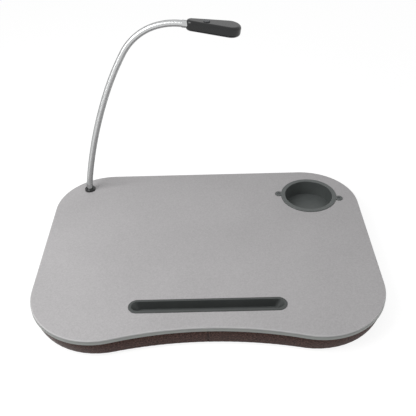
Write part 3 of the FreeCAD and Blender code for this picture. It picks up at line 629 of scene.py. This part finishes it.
def cover_grid():
    """The sewn cover before it is filled: the plan carried along the profile of its base and its side band.

    Rows run out across the base, turn at the foot seam and climb the band to where it is tucked under the
    board; columns run round the plan. Returns the points, the distance of each row along the profile and
    the distance of each column along the plan.
    """
    base = smooth_profile(BASE_PROFILE, BASE_ROWS)
    band = smooth_profile(BAND_PROFILE, BAND_ROWS)
    profile = np.concatenate([base, band[1:], [BAND_TUCK]])
    around = cover_columns()
    points = np.empty((len(profile), len(around), 3))
    foot_height = BAND_PROFILE[0, 1]
    for row, (inset, height) in enumerate(profile):
        eased = min(1.0, (CUSHION_TOP - height) / (CUSHION_TOP - foot_height))
        points[row, :, :2] = on_outline(around, inset, eased)
        points[row, :, 2] = height
    return points, run_length(profile), around


def cover_mesh(name, points, reach, around, foot_row, material):
    """Closed mesh of the cover; its cloth coordinates are x and y under it, and lengths along its band."""
    rows, columns = points.shape[:2]
    quads = grid_faces(rows, columns)
    first = np.arange(columns)
    last = first + (rows - 1) * columns
    faces = quads.tolist() + [first[::-1].tolist(), last.tolist()]
    wrapped = np.append(around, ALONG[-1])
    row, column = np.divmod(np.arange(len(quads)), columns)
    across = np.stack([column, column + 1, column + 1, column], axis=-1)
    climb = np.stack([row, row, row + 1, row + 1], axis=-1)
    band_uv = np.stack([wrapped[across], reach[climb]], axis=-1)
    flat = points.reshape(-1, 3)[:, :2]
    under = (row < foot_row)[:, None, None]
    uv = np.where(under, flat[quads], band_uv).reshape(-1, 2)
    uv = np.concatenate([uv, flat[first[::-1]], flat[last]])
    return mesh_piece(name, points, faces, material, uv)


def puffed(points, reach, around, material):
    """Fills the cover: air pressure on the cloth, held at its seams, with a limit to how far it swells."""
    rows, columns = points.shape[:2]
    foot = BASE_ROWS - 1
    piece = cover_mesh("filling", points, reach, around, foot, material)
    row = np.repeat(np.arange(rows), columns)
    group = piece.vertex_groups.new(name="seams")
    group.add(np.flatnonzero((row == 0) | (row >= rows - 2)).tolist(), 1.0, "REPLACE")
    group.add(np.flatnonzero(row == foot).tolist(), FOOT_SEAM_HOLD, "REPLACE")
    cloth = piece.modifiers.new("filling", "CLOTH")
    cloth.settings.vertex_group_mass = group.name
    cloth.settings.quality = CLOTH_QUALITY
    cloth.settings.use_pressure = True
    cloth.settings.uniform_pressure_force = PUFF_PRESSURE
    cloth.settings.effector_weights.gravity = 0.0
    cloth.point_cache.frame_end = PUFF_FRAMES
    for step in range(1, PUFF_FRAMES + 1):
        bpy.context.scene.frame_set(step)
    swollen = coordinates(applied(piece)).reshape(points.shape)
    bpy.context.scene.frame_set(1)
    bpy.data.objects.remove(piece)
    shift = swollen - points
    length = np.linalg.norm(shift, axis=-1, keepdims=True)
    return points + shift * np.minimum(1.0, PUFF_CAP / np.maximum(length, PUFF_CAP))


def doubled(grid, axis, closed):
    """Twice as many points along an axis: each new one is nine sixteenths of its two neighbours, less a
    sixteenth of the next two, which keeps the surface smooth."""
    old = np.moveaxis(grid, axis, 0)
    if closed:
        ring = np.concatenate([old[-1:], old, old[:2]])
    else:
        ring = np.concatenate([old[:1], old, old[-1:]])
    middle = (9 * (ring[1:-2] + ring[2:-1]) - ring[:-3] - ring[3:]) / 16
    new = np.empty((len(old) + len(middle), *old.shape[1:]))
    new[0::2] = old
    new[1::2] = middle
    return np.moveaxis(new, 0, axis)


def grid_normals(points):
    """Outward unit normals of a closed grid: across its columns, then up its rows, by the right-hand rule."""
    across = np.roll(points, -1, axis=1) - np.roll(points, 1, axis=1)
    climb = np.gradient(points, axis=0)
    normal = np.cross(across, climb)
    return normal / np.maximum(np.linalg.norm(normal, axis=-1, keepdims=True), TINY)


def bell(distance, width):
    """One at a line, falling away smoothly beside it."""
    return np.exp(-((distance / width) ** 2))


def sewn(points, reach, around, foot_row):
    """Draws the thread in: a groove at the front seam and at the foot seam, with shallow puckers beside it.

    Each groove is a bell curve of the distance from the seam, along the surface's own normal; puckers are a
    sine along the plan that dies away from the foot seam.
    """
    climbed = (reach - reach[foot_row])[:, None]
    from_front = np.minimum(around, ALONG[-1] - around)[None, :]
    on_band = np.clip(climbed / PUCKER_REACH, 0, 1)
    front = FRONT_SEAM_DEPTH * bell(from_front, FRONT_SEAM_HALF_WIDTH) * on_band
    foot = SEAM_DEPTH * bell(climbed, SEAM_HALF_WIDTH)
    count = round(ALONG[-1] / PUCKER_LENGTH)
    pucker = np.sin(around / ALONG[-1] * count * math.tau)[None, :] * bell(climbed, PUCKER_REACH)
    push = PUCKER_DEPTH * pucker - np.maximum(front, foot)
    points = points + grid_normals(points) * push[..., None]
    points[..., 2] = np.clip(points[..., 2], 0.0, CUSHION_TOP - COVER_TOP_GAP)
    return points


def prism(name, plan, low, high, material):
    """Upright block on a closed plan, anticlockwise, with cloth coordinates along its wall."""
    count = len(plan)
    points = np.empty((2, count, 3))
    points[..., :2] = plan
    points[0, :, 2] = low
    points[1, :, 2] = high
    quads = grid_faces(2, count)
    first = np.arange(count)
    faces = quads.tolist() + [first[::-1].tolist(), (first + count).tolist()]
    steps = np.linalg.norm(np.roll(plan, -1, axis=0) - plan, axis=1)
    around = np.concatenate([[0.0], np.cumsum(steps)])
    heights = np.array([low, high])
    across = np.stack([first, first + 1, first + 1, first], axis=-1)
    climb = np.tile([0, 0, 1, 1], (count, 1))
    wall_uv = np.stack([around[across], heights[climb]], axis=-1).reshape(-1, 2)
    uv = np.concatenate([wall_uv, plan[::-1], plan])
    return mesh_piece(name, points, faces, material, uv)


def rounded_rectangle(low, high, radius, steps):
    """Plan of a rectangle with round corners, anticlockwise: four quarter arcs joined by straight runs."""
    corners = np.array([[high[0], high[1]], [low[0], high[1]], [low[0], low[1]], [high[0], low[1]]])
    centres = corners + np.array([[-1, -1], [1, -1], [1, 1], [-1, 1]]) * radius
    angle = (np.arange(4)[:, None] + np.linspace(0, 1, steps)) * math.pi / 2
    spoke = np.stack([np.cos(angle), np.sin(angle)], axis=-1)
    return (centres[:, None] + radius * spoke).reshape(-1, 2)


def battery_opening(grow):
    """Corners of the opening under the battery box, which the door's hinge pins and the box's walls set."""
    door_low, door_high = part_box("battery_door")
    box_low, box_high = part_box("battery_box")
    low = np.array([door_low[0] - PIN_TO_WALL - grow, box_low[1] - grow])
    high = np.array([door_high[0] + PIN_TO_WALL + grow, box_high[1] + grow])
    return low, high


def slot_plan(low, high):
    """Plan with round ends that fills a rectangle; a square gives a circle."""
    radius = min(high - low) / 2
    return rounded_rectangle(low, high, radius * (1 - SLOT_SLACK), SLOT_STEPS)


def cut_pockets(cover, material):
    """Room in the cushion for the cup, the pen tray, the lamp's foot with its lead, and the battery box."""
    top = CUSHION_TOP + POCKET_OVERRUN
    cup_low, cup_high = (np.array(corner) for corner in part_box("cup_holder"))
    tray_low, tray_high = (np.array(corner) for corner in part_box("pen_tray"))
    cup_middle = (cup_low + cup_high)[:2] / 2
    pockets = [
        (slot_plan(cup_middle - CUP_WALL_RADIUS, cup_middle + CUP_WALL_RADIUS), cup_low[2] - FABRIC_GAP),
        (slot_plan(tray_low[:2], tray_high[:2]), tray_low[2] - FABRIC_GAP),
    ]
    washer_low, washer_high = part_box("base_washer")
    box_low, box_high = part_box("battery_box")
    lead_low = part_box("battery_lead")[0][2]
    low = np.array([washer_low[0] - LAMP_POCKET_GAP, box_low[1]])
    high = np.array([box_high[0] + FABRIC_GAP, washer_high[1] + LAMP_POCKET_GAP])
    pockets.append((rounded_rectangle(low, high, LAMP_POCKET_GAP, LAMP_POCKET_STEPS), lead_low - FABRIC_GAP))
    low, high = battery_opening(POCKET_GAP)
    pockets.append((rounded_rectangle(low, high, POCKET_CORNER, POCKET_CORNER_STEPS), -POCKET_OVERRUN))
    for plan, floor in pockets:
        cutter = prism("pocket", plan, floor, top, material)
        cut = cover.modifiers.new("pocket", "BOOLEAN")
        cut.operation = "DIFFERENCE"
        cut.solver = "EXACT"
        cut.object = cutter
        applied(cover)
        bpy.data.objects.remove(cutter)
    cover.data.set_sharp_from_angle(angle=math.radians(SHARP_ANGLE))


def merged(piece, extra):
    """The piece with another piece's mesh added to its own."""
    both = bmesh.new()
    both.from_mesh(piece.data)
    both.from_mesh(extra.data)
    both.to_mesh(piece.data)
    both.free()
    bpy.data.objects.remove(extra)
    return piece


def pocket_binding(material):
    """Fabric tape sewn over the edge of the battery opening: an oval carried round the opening's plan."""
    low, high = battery_opening(POCKET_GAP)
    plan = rounded_rectangle(low, high, POCKET_CORNER, POCKET_CORNER_STEPS)
    ahead = np.roll(plan, -1, axis=0) - np.roll(plan, 1, axis=0)
    outward = np.stack([ahead[:, 1], -ahead[:, 0]], axis=-1)
    outward = outward / np.linalg.norm(outward, axis=1, keepdims=True)
    angle = np.arange(BINDING_SIDES) * math.tau / BINDING_SIDES
    points = np.empty((len(plan), BINDING_SIDES, 3))
    points[..., :2] = plan[:, None] + BINDING_HALF_WIDTH * np.cos(angle)[:, None] * outward[:, None]
    points[..., 2] = BINDING_HALF_HEIGHT * (1 + np.sin(angle))
    closed = np.concatenate([points, points[:1]])
    faces = grid_faces(len(closed), BINDING_SIDES) % (len(plan) * BINDING_SIDES)
    along = run_length(np.concatenate([plan, plan[:1]]))
    row, column = np.divmod(np.arange(len(faces)), BINDING_SIDES)
    girth = BINDING_HALF_WIDTH * math.tau / BINDING_SIDES
    across = np.stack([column, column + 1, column + 1, column], axis=-1) * girth
    climb = along[np.stack([row, row, row + 1, row + 1], axis=-1)]
    uv = np.stack([climb, across], axis=-1).reshape(-1, 2)
    return mesh_piece("binding", points, faces.tolist(), material, uv)


def make_cushion(material):
    """The fabric-covered foam cushion under the board."""
    points, reach, around = cover_grid()
    points = puffed(points, reach, around, material)
    points = doubled(doubled(points, 1, True), 0, False)
    reach = np.interp(np.arange(2 * len(reach) - 1) / 2, np.arange(len(reach)), reach)
    wrapped = np.append(around, ALONG[-1])
    around = np.interp(np.arange(2 * len(around)) / 2, np.arange(len(wrapped)), wrapped)
    foot_row = 2 * (BASE_ROWS - 1)
    points = sewn(points, reach, around, foot_row)
    cover = cover_mesh("cushion_cover", points, reach, around, foot_row, material)
    cut_pockets(cover, material)
    merged(cover, pocket_binding(material))
    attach(cover, "tray")
    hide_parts("cushion_foam", "cushion_base_panel", "cushion_band_left", "cushion_band_right")


def make_door_ribs(material):
    """Grip ribs moulded on the outer face of the battery door, side by side in its middle."""
    low, high = (np.array(corner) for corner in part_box("battery_door"))
    middle = (low + high) / 2
    face = low[2] + DOOR_TAB_HEIGHT
    ribs = None
    for k in range(RIB_COUNT):
        offset = np.array([0.0, (k - (RIB_COUNT - 1) / 2) * RIB_PITCH])
        half = np.array([RIB_LENGTH, RIB_WIDTH]) / 2
        centre = middle[:2] + offset
        plan = rounded_rectangle(centre - half, centre + half, RIB_CORNER, RIB_CORNER_STEPS)
        rib = prism("battery_door_ribs", plan, face - RIB_HEIGHT, face + RIB_HEIGHT, material)
        ribs = rib if ribs is None else merged(ribs, rib)
    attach(ribs, "battery_door")


# Gooseneck


def neck_lengths():
    """Start, tilt from upright and turn of each length of the neck, from the frame's joints.

    The first length starts where the ferrule's bend ends. Each length leaves along the last one's end and
    bends evenly, so its turn is twice the angle between its start and the straight line to its end.
    """
    joints = {joint["name"]: joint for joint in frame["record"]["behaviour"]["joints"]}
    tilt = math.radians(FERRULE_BEND)
    radius = FERRULE_BEND_LENGTH / tilt
    foot = np.array(joints["neck_swivel"]["pos_m"])
    start = foot + [radius * (1 - math.cos(tilt)), 0.0, FERRULE_RISE + radius * math.sin(tilt)]
    ends = [np.array(joints[f"neck_bend_{k}"]["pos_m"]) for k in range(1, NECK_JOINTS + 1)]
    lengths = []
    for end in ends:
        run = end - start
        turn = 2 * (math.atan2(run[0], run[2]) - tilt)
        lengths.append((start, tilt, turn))
        start = end
        tilt += turn
    press = np.array(joints["switch_press"]["axis"])
    lengths.append((start, tilt, math.atan2(-press[2], press[0]) - tilt))
    return lengths


def neck_line(lengths, distance):
    """Points and tilts at distances along the neck: each length is an arc in an upright plane."""
    index = np.clip((distance / NECK_LENGTH).astype(int), 0, len(lengths) - 1)
    start = np.array([length[0] for length in lengths])[index]
    tilt = np.array([length[1] for length in lengths])[index]
    turn = np.array([length[2] for length in lengths])[index]
    turn = np.where(np.abs(turn) < LEAST_TURN, LEAST_TURN, turn)
    radius = NECK_LENGTH / turn
    here = tilt + (distance - index * NECK_LENGTH) / radius
    aside = radius * (np.cos(tilt) - np.cos(here))
    rise = radius * (np.sin(here) - np.sin(tilt))
    return start + np.stack([aside, np.zeros_like(here), rise], axis=-1), here


def neck_sleeve(name, lengths, low, high, material):
    """Wound metal strip between two distances: a tube whose radius follows a helix.

    The radius swells from the groove to the crest as one minus the sixth power of the distance from the
    middle of the strip, and the strip climbs one pitch in each turn.
    """
    count = round((high - low) / NECK_PITCH * NECK_STEPS_PER_PITCH) + 1
    distance = np.linspace(low, high, count)
    point, tilt = neck_line(lengths, np.minimum(distance, NECK_LENGTH * len(lengths) - NECK_END_GAP))
    angle = np.arange(NECK_SIDES) * math.tau / NECK_SIDES
    phase = distance[:, None] / NECK_PITCH + angle / math.tau
    across = 2 * (phase - np.floor(phase)) - 1
    radius = NECK_ROOT + (NECK_CREST - NECK_ROOT) * (1 - across**NECK_STRIP_POWER)
    side = np.stack([np.cos(tilt), np.zeros_like(tilt), -np.sin(tilt)], axis=-1)
    depth = np.array([0.0, 1.0, 0.0])
    ring = np.cos(angle)[:, None] * side[:, None] + np.sin(angle)[:, None] * depth
    points = point[:, None] + radius[..., None] * ring
    first = np.arange(NECK_SIDES)
    last = first + (count - 1) * NECK_SIDES
    faces = grid_faces(count, NECK_SIDES).tolist() + [first[::-1].tolist(), last.tolist()]
    return mesh_piece(name, points, faces, material)


def make_neck(material):
    """The gooseneck: one sleeve across each bend, from the middle of one length to the middle of the next."""
    lengths = neck_lengths()
    half = NECK_LENGTH / 2
    total = NECK_LENGTH * len(lengths)
    bodies = [f"neck_{k}" for k in range(1, NECK_JOINTS + 1)] + ["lamp_head"]
    foot = neck_sleeve("neck_sleeve_foot", lengths, 0.0, half, material)
    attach(foot, bodies[0])
    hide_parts("neck_segment_01")
    for k in range(1, NECK_JOINTS + 1):
        low = k * NECK_LENGTH - half
        high = k * NECK_LENGTH + half
        sleeve = neck_sleeve(f"neck_sleeve_{k:02d}", lengths, low, high, material)
        ends, _ = neck_line(lengths, np.array([low, high]))
        pair = [(bodies[k - 1], ends[0]), (bodies[k], ends[1])]
        if k in HEAD_FIRST_BENDS:
            pair.reverse()
        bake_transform(sleeve)
        if k < NECK_JOINTS:
            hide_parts(f"neck_segment_{k + 1:02d}")
    tip = neck_sleeve("neck_sleeve_tip", lengths, total - half, total, material)
    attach(tip, bodies[-1])
    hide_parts(f"neck_segment_{len(lengths):02d}")


# Finishes of the frame's own nodes


def finish_nodes():
    """Gives each node that keeps its own shape the finish of its material slot."""
    tray_charcoal = moulded_plastic("moulded ABS, satin charcoal", "#3F4241", "#484B4A", 0.45, 0.8)
    holder_grey = moulded_plastic("moulded ABS, satin dark grey", "#535756", "#5F6362", 0.45, 0.8)
    lamp_black = moulded_plastic("moulded ABS, gloss black", "#121314", "#18191A", 0.18, 1.0)
    switch_grey = moulded_plastic("moulded silicone, warm grey", "#5B5C5E", "#66686A", 0.6, 0.6)
    battery_black = moulded_plastic("moulded ABS, spark-eroded black", "#1D1E1F", "#252627", 0.6, 0.6)
    jacket = moulded_plastic("shrink film, dark green", "#1F4A3A", "#275B48", 0.3, 1.5)
    sheath = moulded_plastic("extruded PVC, black", "#191919", "#222222", 0.45, 1.0)
    mask = moulded_plastic("solder mask, white", "#E4E6E3", "#EEEFEC", 0.35, 0.5)
    epoxy = moulded_plastic("cast epoxy, phosphor yellow", "#E8D36A", "#F1E08A", 0.2, 1.0)
    # Its black flank colour is painted shade on the neck's flanks, in place of dark surroundings mirrored
    # there
    chrome = plated_metal("chrome plate on brass", "#C2C3C3", 0.06, 0.08, painted_flank_shade="#000000")
    zinc = plated_metal("zinc plate on steel", "#B9BCBE", 0.28, 0.12)
    nickel = plated_metal("nickel plate on spring steel", "#C9C5BB", 0.18, 0.1)
    black_oxide = plated_metal("black oxide on steel", "#5A5C5E", 0.34, 0.12)
    finishes = {
        "fibreboard": fibreboard(),
        "grey_foil": embossed_foil(),
        "tray_plastic": tray_charcoal,
        "holder_plastic": holder_grey,
        "black_screw": black_oxide,
        "zinc_steel": zinc,
        "black_plastic": lamp_black,
        "chrome": chrome,
        "clear_lens": prism_acrylic(),
        "circuit_board": mask,
        "led": epoxy,
        "switch_plastic": switch_grey,
        "battery_plastic": battery_black,
        "cell_jacket": jacket,
        "contact_metal": nickel,
        "wire_sheath": sheath,
    }
    for subpart in frame["record"]["subparts"]:
        finish = finishes.get(subpart["material_slot"])
        if finish is not None:
            mesh = frame["nodes"][subpart["node"]].data
            mesh.materials.clear()
            mesh.materials.append(finish)
    return finishes


bpy.context.scene.view_settings.view_transform = "Standard"
make_camera()
make_floor()
make_light()
finishes = finish_nodes()
make_cushion(woven_polyester())
make_neck(finishes["chrome"])
make_door_ribs(finishes["battery_plastic"])
